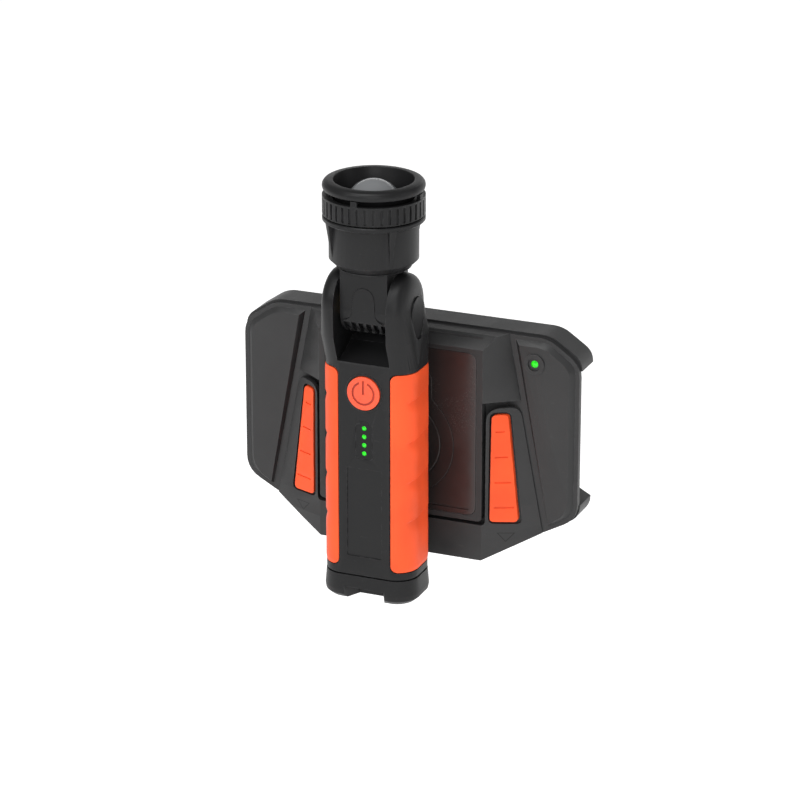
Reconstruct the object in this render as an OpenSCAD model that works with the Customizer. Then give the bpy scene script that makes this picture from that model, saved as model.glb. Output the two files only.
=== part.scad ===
// Firefighter's right-angle flashlight, standing on its vehicle charging dock.
// Millimetres: X across, +Y towards the wall, +Z up. The origin is the middle of the dock's
// four-hole mounting pattern, on the dock's rear face.

/* [Dock] */
// Distance from the rear face to the front of the centre panel
dock_depth = 31; // [30.5:0.1:32]
// Half width of the centre panel
panel_half = 44.3; // [43.5:0.1:45]
// Height of the panel's top corner
panel_top = 45; // [44.5:0.1:45.5]
// Height of the dock's flat top
dock_top = 51; // [50.8:0.1:51.5]
// Distance from the rear face to the rim of the wings
wing_rim = 18.8; // [18.6:0.1:19]
// Side of the hole pattern across, for a four-hole mounting plate
pattern_x = 38; // [36:0.5:40]
// Side of the hole pattern up
pattern_z = 30; // [28:0.5:32]
// Radius of the threaded inserts' bores
insert_bore = 2; // [1.8:0.1:2.2]
// How far the release slider travels down
release_travel = 5; // [4:0.5:5]

/* [Handle] */
// Width of the handle
handle_w = 48.6; // [48:0.1:49.5]
// Depth of the handle
handle_d = 32.6; // [32.2:0.1:33]
// Radius of the handle's long corners
handle_r = 11.3; // [11:0.1:11.5]
// Wall of the handle's two shells, with the grip's recess in it
shell_wall = 3.2; // [3:0.1:3.4]
// Thickness of the soft grips
grip_t = 1.4; // [1.2:0.1:1.5]
// Radius of the power button
button_r = 8.6; // [8:0.1:8.8]
// Pitch of the four charge lights
led_pitch = 4.4; // [4.2:0.1:4.5]

/* [Head] */
// Radius of the ears' round tops
ear_r = 17; // [16.8:0.1:17.2]
// Distance of each ear's inner face from the middle
ear_in = 13.8; // [13.7:0.05:14]
// Radius of the pivot axle
axle_r = 3; // [2.8:0.1:3.2]
// Radius of the head's cup
cup_r = 22; // [21.9:0.1:22.2]
// Radius over the knurled focus ring
ring_r = 25.1; // [25:0.1:25.4]
// Number of grooves round the focus ring
ring_grooves = 40; // [30:2:44]
// Radius of the dome lens
lens_r = 14; // [13.5:0.1:14.2]
// How far the lens travels for focus
lens_travel = 4; // [3:0.5:4]

/* [Hidden] */
$fn = 96;
eps = 0.02;
dark = "#333336";
grey = "#48484a";
orange = "#ff6b47";

panel_y = -dock_depth;
cheek_y = -wing_rim - 0.4;
rim_y = -wing_rim;
flange_y = rim_y + 3;
panel_low = -46.5;
bar_low = -67.5;
rear_wall = 2.8;
side_wall = 2.6;
slider_wall = 3;
track_gap = 4.4;
cavity_inset = 7.4;
arm_gap = 0.6;
pad_foot_z = -8.5;
coil_y = panel_y + 1.7;
fork_y = panel_y + 4.4;
fork_t = 1.2;
fork_tab_z = -30;
spring_z0 = -42;
spring_x = 20;
spring_y = fork_y + 1.1;
led_x = 67.9;
led_z = 37.8;
inlet_x = 25;
inlet_y = -9;

body_y = -60.5;
front_y = body_y - handle_d / 2;
back_y = body_y + handle_d / 2;
split_y = body_y;
shell_low = -65;
grip_low = -61;
grip_high = 43;
grip_x = 14;
shoulder_z = 46;
button_z = 32;
cell_x = 9.6;
cell_y = body_y + 3.6;
cell_r = 9.2;
cell_z = -54;
cell_h = 65.2;
board_y = front_y + 6.4;
screw_x = 14.4;
screw_z = 28;
tail_screw_y = body_y + 5.5;
bracket_screw_z = [22, -28];

head_y = -63.7;
pivot_z = 73.1;
neck_half = 12.4;
ear_out = 22.6;
ear_y = -65.5;
ear_z = 75.2;
slot_r = 18.6;
collar_z = 93.3;
cup_z = 94.6;
flange_z = 117.6;
ring_z = 120.6;
ring_top = 130.3;
bezel_z = 133;
rim_z = 137.8;
sink_z = 99;
emitter_z = 107;
lens_z = 122;

// ---- shared shapes ----

module along_x(x0, x1) { translate([x0, 0, 0]) rotate([90, 0, 90]) linear_extrude(x1 - x0) children(); }
module along_y(y0, y1) { translate([0, y1, 0]) rotate([90, 0, 0]) linear_extrude(y1 - y0) children(); }
module box(x, y, z) { translate([x[0], y[0], z[0]]) cube([x[1] - x[0], y[1] - y[0], z[1] - z[0]]); }
module rod_y(x, z, r, y0, y1) { translate([x, y1, z]) rotate([90, 0, 0]) cylinder(r = r, h = y1 - y0); }
module rod_z(x, y, r, z0, z1) { translate([x, y, z0]) cylinder(r = r, h = z1 - z0); }
module sides() { children(); mirror([1, 0, 0]) children(); }

// A rectangle with round corners, centred on the origin.
module round_rect(w, d, r) {
    square([w - 2 * r, d], center = true);
    square([w, d - 2 * r], center = true);
    for (x = [-1, 1], y = [-1, 1]) translate([x * (w / 2 - r), y * (d / 2 - r)]) circle(r);
}

// A half outline, listed from the top down the right, closed by its mirror image.
function whole(half) = concat(half, [for (i = [len(half) - 1 : -1 : 0]) [-half[i][0], half[i][1]]]);

// An outline moved inwards by t; its points run clockwise.
function unit(v) = v / norm(v);
function outward(a, b) = let (d = unit(b - a)) [-d[1], d[0]];
function inset(pts, t) = let (n = len(pts)) [for (i = [0 : n - 1])
    let (p = outward(pts[(i + n - 1) % n], pts[i]), q = outward(pts[i], pts[(i + 1) % n]))
    pts[i] - t * (p + q) / (1 + p * q)];

// An outline with its corners rounded; cuts[i] is how far corner i is cut back.
function soften(pts, cuts, steps = 5) = let (n = len(pts)) [for (i = [0 : n - 1])
    let (b = pts[i], u = unit(pts[(i + n - 1) % n] - b), v = unit(pts[(i + 1) % n] - b), c = cuts[i])
    if (c == 0) b
    else for (k = [0 : steps]) let (s = k / steps) b + c * (pow(1 - s, 2) * u + pow(s, 2) * v)];
function reversed(list) = [for (i = [len(list) - 1 : -1 : 0]) list[i]];

// Points along an arc about c, from angle a0 to a1.
function arc(c, r, a0, a1, steps = 40) = [for (i = [0 : steps])
    let (a = a0 + (a1 - a0) * i / steps) c + r * [cos(a), sin(a)]];

// A coil spring of round wire along +Z, from z = 0 to h.
function coil_point(r, h, turns, t) = [r * cos(360 * turns * t), r * sin(360 * turns * t), h * t];
module coil(r, wire, h, turns, rings = 60, n = 8) {
    function frame_at(t) = let (a = 360 * turns * t) [[cos(a), sin(a), 0], [0, 0, 1]];
    points = [for (i = [0 : rings], k = [0 : n - 1])
        let (t = i / rings, f = frame_at(t), a = 360 * k / n)
        coil_point(r, h - 2 * wire, turns, t) + [0, 0, wire] + wire * (cos(a) * f[0] + sin(a) * f[1])];
    faces = concat(
        [[for (k = [n - 1 : -1 : 0]) k], [for (k = [0 : n - 1]) rings * n + k]],
        [for (i = [0 : rings - 1], k = [0 : n - 1]) let (m = (k + 1) % n)
            [i * n + k, i * n + m, (i + 1) * n + m]],
        [for (i = [0 : rings - 1], k = [0 : n - 1]) let (m = (k + 1) % n)
            [i * n + k, (i + 1) * n + m, (i + 1) * n + k]]);
    polyhedron([for (p = points) p], [for (f = faces) reversed(f)]);
}

// ---- the dock's prow: a panel with two twisted cheeks running back to the wings ----

// Where the cheek meets the wing, at height z.
function wing_edge(z) = 53.6 + (dock_top - z) * 0.192;
// The right half of the prow's section at height z, with its skin t below the outer surface.
function prow_half(z, t) = let (run = wing_edge(z) - panel_half, rise = cheek_y - panel_y,
    slope = norm([run, rise]), tip = t * (slope - run) / rise)
    [[panel_half - tip, panel_y + t], [wing_edge(z) - t * slope / rise, cheek_y]];
module prow(t, z0, z1, back) {
    steps = 8;
    levels = [for (i = [0 : steps]) let (z = z0 + (z1 - z0) * i / steps, h = prow_half(z, t))
        [[h[0][0], h[0][1], z], [h[1][0], h[1][1], z], [h[1][0], back, z],
        [-h[1][0], back, z], [-h[1][0], h[1][1], z], [-h[0][0], h[0][1], z]]];
    faces = concat(
        [[0, 5, 4, 3, 2, 1], [for (k = [0 : 5]) steps * 6 + k]],
        [for (i = [0 : steps - 1], k = [0 : 5]) let (m = (k + 1) % 6) [i * 6 + k, i * 6 + m, (i + 1) * 6 + m]],
        [for (i = [0 : steps - 1], k = [0 : 5]) let (m = (k + 1) % 6)
            [i * 6 + k, (i + 1) * 6 + m, (i + 1) * 6 + k]]);
    polyhedron([for (level = levels, p = level) p], [for (f = faces) reversed(f)]);
}

plateau_base = soften([[57, 48.8], [73.7, 49], [88.7, 38.6], [88.7, -41], [75.8, -47.9]], [0, 4, 5, 7, 0]);
plateau_face = soften([[59.6, 46.6], [72.8, 46.7], [86.2, 37.2], [86.2, -39.8], [76.2, -46.4]], [0, 4, 5, 7, 0]);
plateau_rise = 2.3;
flange_cuts = [5, 7, 8, 0, 3];
flange_outline = soften(
    whole([[74.3, dock_top], [90.9, 39.5], [90.9, -42.4], [73.8, -51.7], [44, -64]]),
    concat(flange_cuts, reversed(flange_cuts)));
rear_outline = whole([[74.9, dock_top + 1], [91.2, 40.9], [91.2, 35.5], [62, 35.5], [62, -20], [91.2, -36],
    [91.2, -42.4], [73.8, -51.7], [44, -64]]);
opening_top = 17;
arm_top = 13.7;
arm_in = panel_half + 1.6;
bar_top = panel_low - 1.9;
// The release slider's outline: a bar with two arms, each rounded at its top.
slider_half = soften([[20, bar_top], [arm_in, bar_top], [arm_in, arm_top],
    [wing_edge(arm_top) - arm_gap, arm_top], [wing_edge(-52.2) - arm_gap, -52.2], [44, bar_low], [20, bar_low]],
    [0, 2.5, 6, 5, 0, 0, 0]);
pad_outline = soften([[48.5, 10.6], [55.4, 10.2], [61.5, -46.3], [48.3, -46]], [2, 2, 2.5, 2]);
pocket_outline = soften([[47.4, 11.8], [56.4, 11.4], [63.2, -47.5], [47.3, -47.3]], [3, 3, 3, 3]);

// Everything of the prow's front that belongs to the fixed housing.
module prow_front() {
    intersection() {
        prow(0, panel_low, dock_top, flange_y);
        along_x(-100, 100) polygon([[panel_y, panel_low], [panel_y, panel_top], [panel_y + 6.3, dock_top],
            [flange_y, dock_top], [flange_y, panel_low]]);
        union() {
            along_y(panel_y - 1, flange_y) polygon(soften([[-panel_half + 0.1, dock_top + 1],
                [panel_half - 0.1, dock_top + 1], [panel_half - 0.1, panel_low], [-panel_half + 0.1, panel_low]],
                [0, 0, 2.5, 2.5]));
            sides() along_y(panel_y - 1, flange_y) polygon(soften([[panel_half - 1, dock_top + 1],
                [100, dock_top + 1], [100, opening_top], [wing_edge(opening_top), opening_top],
                [panel_half - 1, opening_top]], [0, 0, 0, 0, 0]));
        }
    }
}

screw_spots = [[68, 44], [80, -39], [34, -54.5]];
board_posts = [for (x = [-31, 31], z = [-24, 27]) [x, z]];

module dock_housing() color(grey) difference() {
    union() {
        prow_front();
        intersection() {
            prow(track_gap, -57, dock_top - 1, flange_y);
            along_y(panel_y, flange_y) polygon(whole([[60, dock_top - 1], [60, -43], [42, -57]]));
        }
        along_y(rim_y, flange_y) polygon(flange_outline);
        sides() hull() {
            along_y(rim_y - eps, rim_y) polygon(plateau_base);
            along_y(rim_y - plateau_rise, rim_y - plateau_rise + eps) polygon(plateau_face);
        }
        rod_y(led_x, led_z, 5.3, rim_y - plateau_rise - 0.8, rim_y);
    }
    prow(cavity_inset, -44, dock_top - 4, flange_y + 1);
    box([-36, 36], [panel_y + 3, flange_y + 1], [-42, 41]);
    box([-10, 10], [fork_y - 0.8, flange_y - 4], [-60, -40]);
    along_y(panel_y - 1, panel_y + 1.5) translate([0, -0.55]) round_rect(82, 86.7, 4.5);
    rod_y(0, pad_foot_z, 22, panel_y, flange_y);
    rod_y(led_x, led_z, 3.4, rim_y - plateau_rise - 1, rim_y - plateau_rise + 0.2);
    rod_y(led_x, led_z, 1.9, rim_y - 4, flange_y + 1);
    sides() for (s = screw_spots) rod_y(s[0], s[1], 1.5, rim_y + 0.6, flange_y + 1);
}

module dock_rear_shell() color(grey) difference() {
    union() {
        difference() {
            along_y(flange_y, 0) polygon(soften(rear_outline,
                [5, 5, 0, 2, 2, 0, 6, 0, 3, 3, 0, 6, 0, 2, 2, 0, 5, 5]));
            along_y(flange_y - 1, -rear_wall) polygon(inset(rear_outline, side_wall));
        }
        sides() for (s = screw_spots) rod_y(s[0], s[1], 3.6, flange_y, -0.5);
        for (x = [-1, 1], z = [-1, 1]) rod_y(x * pattern_x / 2, z * pattern_z / 2, 4.6, -8, -0.5);
        box([inlet_x - 7, inlet_x + 7], [inlet_y - 6, -1], [-62.5, -52]);
        for (p = board_posts) {
            rod_y(p[0], p[1], 2.8, -12, -0.5);
            rod_y(p[0], p[1], 1.5, -14.4, -11.9);
        }
    }
    sides() for (s = screw_spots) {
        rod_y(s[0], s[1], 1.7, flange_y - 1, 1);
        rod_y(s[0], s[1], 3, -3.2, 1);
    }
    for (x = [-1, 1], z = [-1, 1]) rod_y(x * pattern_x / 2, z * pattern_z / 2, 3, -6, 1);
    rod_z(inlet_x, inlet_y, 4.5, -70, -50);
}

module center_plate() color(grey) difference() {
    along_y(panel_y, panel_y + 1.5) translate([0, -0.55]) round_rect(81.7, 86.4, 4.4);
    along_y(panel_y - 1, panel_y + 2) keyhole(0.1);
    box([-37, 37], [panel_y - 1, panel_y + 0.5], [-41, -40.3]);
}

// The charging pad's outline: a disc with a neck running up.
module keyhole(grow) polygon(whole(concat(
    [[13 + grow, 31.5 + grow], [17 + grow, 27.5 + grow], [17.2 + grow, 15.7]],
    arc([0, pad_foot_z], 29 + grow, 36, -88))));

module charging_pad() color("#3a2a28") difference() {
    along_y(panel_y, panel_y + 1.5) keyhole(0);
    rod_y(0, pad_foot_z, 5.2, panel_y - 1, panel_y + 2);
    difference() {
        rod_y(0, pad_foot_z, 22.1, panel_y - 1, panel_y + 0.4);
        rod_y(0, pad_foot_z, 21.5, panel_y - 1, panel_y + 1);
    }
}

module transmit_coil() color("#b8693a") difference() {
    rod_y(0, pad_foot_z, 20, coil_y, coil_y + 1);
    rod_y(0, pad_foot_z, 9, coil_y - 1, coil_y + 2);
}

module transmit_ferrite() color("#3c3c3c") difference() {
    rod_y(0, pad_foot_z, 21, coil_y + 1.05, coil_y + 1.9);
    rod_y(0, pad_foot_z, 7, coil_y, coil_y + 3);
}

module dock_magnet() color("silver") rod_y(0, 34.5, 4, panel_y + 3.05, panel_y + 6);

module dock_board() color("darkgreen") difference() {
    union() {
        box([-34, 34], [-13.6, -12], [-27, 30]);
        box([-22, -8], [-15, -13.6], [8, 20]);
        box([6, 26], [-15.6, -13.6], [-20, -8]);
        rod_y(12, 18, 4, -12, -9.4);
        rod_y(0, -20, 3.2, -12, -9);
    }
    for (p = board_posts) rod_y(p[0], p[1], 1.6, -14, -11);
}

module status_led() color("#1ae509")
    rod_y(led_x, led_z, 1.85, rim_y - plateau_rise - 0.1, flange_y - 0.1);

module dc_inlet() color("black") difference() {
    rod_z(inlet_x, inlet_y, 4.4, -64.4, -51);
    rod_z(inlet_x, inlet_y, 2.8, -65, -53);
}

module dc_inlet_pin() color("silver") rod_z(inlet_x, inlet_y, 1, -62.5, -53);

module mount_inserts() color("gold") for (x = [-1, 1], z = [-1, 1]) difference() {
    rod_y(x * pattern_x / 2, z * pattern_z / 2, 2.98, -6, 0);
    rod_y(x * pattern_x / 2, z * pattern_z / 2, insert_bore, -7, 1);
}

module dock_screws() color("silver") sides() for (s = screw_spots) difference() {
    union() {
        rod_y(s[0], s[1], 1.48, rim_y + 0.8, -3);
        rod_y(s[0], s[1], 2.8, -3.18, -1);
    }
    translate([s[0], 0, s[1]]) rotate([90, 0, 0]) translate([0, 0, 0.5]) cylinder(r = 1.3, h = 1.7, $fn = 6);
}

module slider_springs() color("silver")
    sides() translate([spring_x, spring_y, spring_z0]) coil(1.7, 0.3, fork_tab_z - spring_z0 - 0.1, 6);

module release_slider() color(grey) difference() {
    union() {
        difference() {
            intersection() {
                prow(0, bar_low, arm_top + 1, cheek_y + 0.2);
                along_y(panel_y - 1, cheek_y + 0.2) polygon(whole(slider_half));
            }
            intersection() {
                prow(slider_wall, bar_low - 1, arm_top + 2, cheek_y + 1);
                along_y(panel_y, cheek_y + 1) polygon(whole([[90, 60], [90, -40], [73.4, -48.9], [44, -64.6]]));
            }
        }
        box([-7, 7], [panel_y + 2, fork_y], [-65, -58.5]);
    }
    sides() difference() {
        intersection() {
            prow(-1, -50, arm_top, cheek_y);
            along_y(panel_y - 2, cheek_y) polygon(pocket_outline);
        }
        prow(1.7, -51, arm_top + 1, cheek_y + 1);
    }
    for (x = [-4.5, 4.5]) rod_y(x, -61.5, 0.9, fork_y - 1.8, fork_y + 1);
}

// One soft finger pad with four grip grooves, lying on the right cheek.
module finger_pad() difference() {
    intersection() {
        prow(-0.7, -50, arm_top, cheek_y);
        along_y(panel_y - 2, cheek_y) polygon(pad_outline);
    }
    prow(1.68, -51, arm_top + 1, cheek_y + 1);
    for (i = [0 : 3]) difference() {
        box([50.3, 54.2 + 1.75 * i], [panel_y - 2, cheek_y], [1.3 - 13.4 * i, 2.1 - 13.4 * i]);
        prow(-0.2, -50, arm_top, cheek_y + 1);
    }
}

module left_pad() color(orange) mirror([1, 0, 0]) finger_pad();
module right_pad() color(orange) finger_pad();

// Sheet-steel fork behind the pad; its slot stands round the docking stud's groove.
module latch_fork() color("silver") difference() {
    union() {
        box([-9, 9], [fork_y, fork_y + fork_t], [-64, -28]);
        box([-24, 24], [fork_y, fork_y + fork_t], [fork_tab_z, -22]);
        box([-9, 9], [fork_y, fork_y + fork_t], [-28, 2]);
        sides() box([spring_x - 2.6, spring_x + 2.6], [spring_y - 2.2, spring_y + 2.2],
            [fork_tab_z, fork_tab_z + 1.2]);
    }
    rod_y(0, pad_foot_z, 4.3, fork_y - 1, fork_y + 3);
    box([-4.3, 4.3], [fork_y - 1, fork_y + 3], [pad_foot_z, pad_foot_z + 7.5 + release_travel]);
    for (x = [-4.5, 4.5]) rod_y(x, -61.5, 1, fork_y - 1, fork_y + 3);
}

module fork_screws() color("silver") for (x = [-4.5, 4.5]) {
    rod_y(x, -61.5, 0.88, fork_y - 1.7, fork_y + fork_t);
    rod_y(x, -61.5, 1.7, fork_y + fork_t, fork_y + fork_t + 0.9);
}

// ---- the handle ----

module handle_section(grow = 0)
    translate([0, body_y]) round_rect(handle_w + 2 * grow, handle_d + 2 * grow, handle_r + grow);
module slice(z) { translate([0, 0, z]) linear_extrude(eps) children(); }

// Half of the ears' outline seen from above: a dome from the inner face outwards.
ear_curve = [for (a = [0 : 9 : 90])
    [ear_in + (ear_out - ear_in) * pow(sin(a), 0.6), ear_r * pow(cos(a), 0.5)]];
ear_plan = concat([for (p = ear_curve) [p[0], -p[1]]], reversed(ear_curve),
    [for (p = ear_curve) [-p[0], p[1]]], [for (p = reversed(ear_curve)) [-p[0], -p[1]]]);

// The slot between the ears, seen from the side.
module slot_profile() {
    translate([head_y, pivot_z]) circle(slot_r);
    polygon([[-100, 47.2], [front_y - 0.6, 47.2], [-72.6, 47.5], [-61.6, 52.5], [-56.6, 55.9],
        [head_y, pivot_z], [head_y, 110], [-100, 110]]);
    translate([head_y, pivot_z]) square([30, 40]);
}

module handle_outside() difference() {
    union() {
        translate([0, 0, shell_low]) linear_extrude(shoulder_z - shell_low) handle_section();
        hull() {
            slice(shoulder_z - eps) handle_section();
            slice(60) translate([0, -63]) round_rect(48.2, 38, 10.5, $fn = 40);
            slice(ear_z - eps) translate([0, ear_y]) polygon(ear_plan);
        }
        sides() intersection() {
            translate([0, ear_y, ear_z]) rotate([0, 90, 0])
                rotate_extrude() polygon(concat([[0, ear_in - 1], [ear_r, ear_in - 1]],
                    [for (p = ear_curve) [p[1], p[0]]]));
            box([0, 40], [-100, -20], [ear_z, 100]);
        }
    }
    along_x(-ear_in, ear_in) slot_profile();
}

// What one grip covers, as a block through the handle with round corners at the front and back.
module grip_block(grow) along_y(-100, -20) polygon(soften(
    [[grip_x - grow, grip_high + grow], [60, grip_high + grow], [60, grip_low - grow],
    [grip_x - grow, grip_low - grow]], [3 + grow, 0, 0, 4 + grow]));

module grip() difference() {
    intersection() {
        translate([0, 0, grip_low - 1]) linear_extrude(grip_high - grip_low + 2) handle_section(0.2);
        grip_block(0);
    }
    translate([0, 0, grip_low - 2]) linear_extrude(grip_high - grip_low + 4) handle_section(0.03 - grip_t);
}

module handle_shell() difference() {
    handle_outside();
    sides() difference() {
        grip_block(0.5);
        translate([0, 0, grip_low - 3]) linear_extrude(grip_high - grip_low + 6) handle_section(-grip_t);
    }
    translate([0, 0, shell_low - 1]) linear_extrude(44.5 - shell_low) handle_section(-shell_wall);
    translate([0, head_y, pivot_z]) rotate([0, 90, 0]) cylinder(r = axle_r, h = 37, center = true);
    sides() along_x(21, 30) cover_profile(0.1);
    rod_z(19, head_y, 1.7, 40, pivot_z);
    translate([18, head_y, pivot_z]) rotate([0, 90, 0]) cylinder(r = 2.2, h = 2.4);
}

// The side covers' outline: a teardrop of two arcs, its point down.
cover_lean = 16.1;
module cover_profile(grow) translate([head_y, pivot_z]) polygon(concat(
    arc([0, 0], 7.5 + grow, 180 + cover_lean, -cover_lean, 16),
    arc([0, -9], 5 + grow, -cover_lean, cover_lean - 180, 12)));

module front_shell() color(dark) difference() {
    union() {
        intersection() {
            handle_shell();
            box([-40, 40], [-100, split_y], [-90, 110]);
        }
        intersection() {
            handle_shell();
            box([-40, 40], [split_y - eps, head_y + axle_r + 4], [pivot_z - 8, 110]);
        }
        sides() rod_y(screw_x, screw_z, 2.8, front_y + 3, split_y);
    }
    sides() rod_y(screw_x, screw_z, 1.3, front_y + 6, split_y + 1);
    rod_y(0, button_z, 9.9, front_y - 1, front_y + 6);
    gauge_shape(0.1, front_y - 1, front_y + 1.2);
    for (z = gauge_z) rod_y(0, z, 1.3, front_y, front_y + 6);
    box([-9.2, 9.2], [front_y - 1, front_y + 0.4], [-55, -8]);
}

module rear_shell() color(dark) difference() {
    union() {
        intersection() {
            handle_shell();
            box([-40, 40], [split_y + 0.05, -20], [-90, 110]);
        }
        sides() box([screw_x - 3.5, 22.4], [split_y + 0.05, split_y + 10], [shell_low, -62.8]);
        sides() rod_y(screw_x, screw_z, 3.6, back_y - 7, back_y - 3.2);
    }
    box([-40, 40], [split_y - 1, head_y + axle_r + 4.05], [pivot_z - 8.05, 110]);
    sides() {
        rod_y(screw_x, screw_z, 1.6, back_y - 8, back_y + 1);
        rod_y(screw_x, screw_z, 3, back_y - 3.6, back_y + 1);
        for (z = bracket_screw_z) rod_y(9, z, 1.25, back_y - 2.8, back_y + 1);
        rod_z(screw_x, tail_screw_y, 1.57, shell_low - 1, -60);
    }
}

module left_grip() color(orange) mirror([1, 0, 0]) grip();
module right_grip() color(orange) grip();

module button_ring() color("black") difference() {
    rod_y(0, button_z, 9.85, front_y - 0.25, front_y + shell_wall);
    rod_y(0, button_z, button_r + 0.3, front_y - 1, front_y + 4);
}

module power_button() color(orange) difference() {
    union() {
        rod_y(0, button_z, button_r, front_y - 0.9, front_y + 1.8);
        rod_y(0, button_z, 2, front_y + 1.8, front_y + 3.3);
    }
    difference() {
        rod_y(0, button_z, 6.1, front_y - 2, front_y - 0.5);
        rod_y(0, button_z, 5.1, front_y - 2, front_y);
        box([-2.2, 2.2], [front_y - 3, front_y], [button_z, button_z + 9]);
    }
    box([-0.5, 0.5], [front_y - 2, front_y - 0.5], [button_z - 0.5, button_z + 6.5]);
}

module tact_switch() color("dimgray") {
    box([-3, 3], [front_y + 4.6, board_y], [button_z - 3, button_z + 3]);
    rod_y(0, button_z, 1.5, front_y + 4.4, front_y + 4.6);
}

gauge_z = [for (i = [0 : 3]) 13.5 - led_pitch * i];
module gauge_shape(grow, y0, y1) along_y(y0, y1) {
    translate([0, 6.4]) round_rect(8.8 + 2 * grow, 18 + 2 * grow, 1.2 + grow);
    translate([0, 16.2]) square([4.4 + 2 * grow, 2 + 2 * grow], center = true);
}

module gauge_window() color("#262628") difference() {
    gauge_shape(0, front_y, front_y + 1.1);
    for (z = gauge_z) rod_y(0, z, 1.22, front_y - 1, front_y + 2);
}

module gauge_leds() color("#1ae509") for (z = gauge_z) rod_y(0, z, 1.2, front_y - 0.05, board_y - 0.05);

module main_board() color("darkgreen") {
    box([-11.5, 11.5], [board_y, board_y + 1.6], [-35, 42]);
    box([-6, 6], [board_y + 1.6, board_y + 3], [18, 30]);
    box([-9, -3], [board_y - 1.2, board_y], [-20, -14]);
    box([2, 9], [board_y - 2, board_y], [-30, -22]);
}

module battery_cells() color("#2f6f9f") sides() rod_z(cell_x, cell_y, cell_r, cell_z, cell_z + cell_h);

module cell_cradle() color("dimgray") {
    box([-19.5, 19.5], [cell_y - 10.7, cell_y - 9.3], [-62.5, 15]);
    box([-18.8, 18.8], [cell_y - 9.3, cell_y + 6.4], [-62.5, -61.1]);
    box([-18.8, 18.8], [cell_y - 9.3, cell_y + 6.4], [13.4, 15]);
}

module cell_contacts() color("silver") {
    box([-17, 17], [cell_y - 4, cell_y + 4], [cell_z + cell_h + 0.1, cell_z + cell_h + 0.5]);
    sides() box([cell_x - 5, cell_x + 5], [cell_y - 5, cell_y + 5], [-61, -60.6]);
}

module cell_springs() color("silver")
    sides() translate([cell_x, cell_y, -60.5]) coil(3.6, 0.4, cell_z + 60.4, 3, 40);

module tail_gasket() color("black") difference() {
    translate([0, 0, shell_low - 0.8]) linear_extrude(0.8) handle_section(-1);
    translate([0, 0, shell_low - 2]) linear_extrude(4) handle_section(-shell_wall + 0.2);
}

module tail_cap() color(dark) difference() {
    hull() {
        slice(shell_low - 0.8 - eps) handle_section(0.1, $fn = 40);
        slice(-74) handle_section(0.8, $fn = 40);
        slice(-76.6) handle_section(0.4, $fn = 40);
        slice(-78.7) handle_section(-2, $fn = 40);
    }
    translate([0, 0, -72.2 - 8]) linear_extrude(8) polygon([[-10.8, -90], [10.8, -90], [10.8, front_y],
        [6.3, -67.6], [-6.3, -67.6], [-10.8, front_y]]);
    sides() {
        rod_z(screw_x, tail_screw_y, 1.6, -90, -60);
        rod_z(screw_x, tail_screw_y, 3, -90, -75.5);
    }
    translate([0, 0, -71]) linear_extrude(10) difference() {
        handle_section(-4);
        translate([0, -74]) square([30, 20], center = true);
        for (s = [-1, 1]) translate([s * screw_x, tail_screw_y]) circle(4);
    }
}

module tail_screws() color("silver") sides() difference() {
    union() {
        rod_z(screw_x, tail_screw_y, 1.55, -75.5, -63);
        rod_z(screw_x, tail_screw_y, 2.8, -77.4, -75.5);
    }
    translate([screw_x, tail_screw_y, -78]) cylinder(r = 1.3, h = 1.6, $fn = 6);
}

module shell_screws() color("silver") sides() {
    rod_y(screw_x, screw_z, 1.28, split_y - 8, back_y - 3.6);
    rod_y(screw_x, screw_z, 2.8, back_y - 3.6, back_y - 2.4);
}

foot_r = 15;
foot_y = panel_y - 0.3;
module docking_bracket() color("#2a2a2c") difference() {
    union() {
        along_y(back_y, back_y + 2.4) translate([0, 6]) round_rect(26, 80, 5);
        rod_y(0, pad_foot_z, foot_r, back_y + 0.4, foot_y);
        along_y(back_y, foot_y) translate([0, 34.5]) round_rect(26, 17, 4);
    }
    rod_y(0, pad_foot_z, 13.2, back_y - 1, foot_y - 1.2);
    rod_y(0, pad_foot_z, 4, back_y - 1, foot_y + 1);
    rod_y(0, 34.5, 4.05, foot_y - 4.5, foot_y - 1);
    along_y(back_y - 1, foot_y - 4.4) translate([0, 34.5]) round_rect(20, 11, 2);
    sides() for (z = bracket_screw_z) {
        rod_y(9, z, 1.4, back_y - 1, foot_y);
        rod_y(9, z, 2.5, back_y + 1.2, foot_y);
    }
}

module bracket_screws() color("silver") sides() for (z = bracket_screw_z) {
    rod_y(9, z, 1.2, back_y - 2.6, back_y + 1.2);
    rod_y(9, z, 2.4, back_y + 1.2, back_y + 2.3);
}

module docking_stud() color("silver") difference() {
    union() {
        rod_y(0, pad_foot_z, 3.98, foot_y - 2.5, panel_y + 7.4);
        rod_y(0, pad_foot_z, 6.5, foot_y - 3.6, foot_y - 2.5);
    }
    difference() {
        rod_y(0, pad_foot_z, 5, fork_y - 0.3, fork_y + fork_t + 0.3);
        rod_y(0, pad_foot_z, 3.3, fork_y - 1, fork_y + 3);
    }
}

module receive_coil() color("#b8693a") difference() {
    rod_y(0, pad_foot_z, 13, foot_y - 2.3, foot_y - 1.25);
    rod_y(0, pad_foot_z, 8, foot_y - 3, foot_y);
}

module bracket_magnet() color("silver") rod_y(0, 34.5, 4, foot_y - 4.4, foot_y - 1.1);

module pivot_axle() color("silver") difference() {
    translate([0, head_y, pivot_z]) rotate([0, 90, 0]) cylinder(r = axle_r, h = 35.6, center = true);
    translate([0, head_y, pivot_z]) rotate([0, 90, 0]) cylinder(r = 1.7, h = 38, center = true);
    intersection() {
        box([-2, 2], [head_y - 5, head_y + 2], [pivot_z - 2, pivot_z + 5]);
        translate([0, head_y, pivot_z]) rotate([0, 90, 0]) cylinder(r = 5, h = 4, center = true);
    }
}

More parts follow.
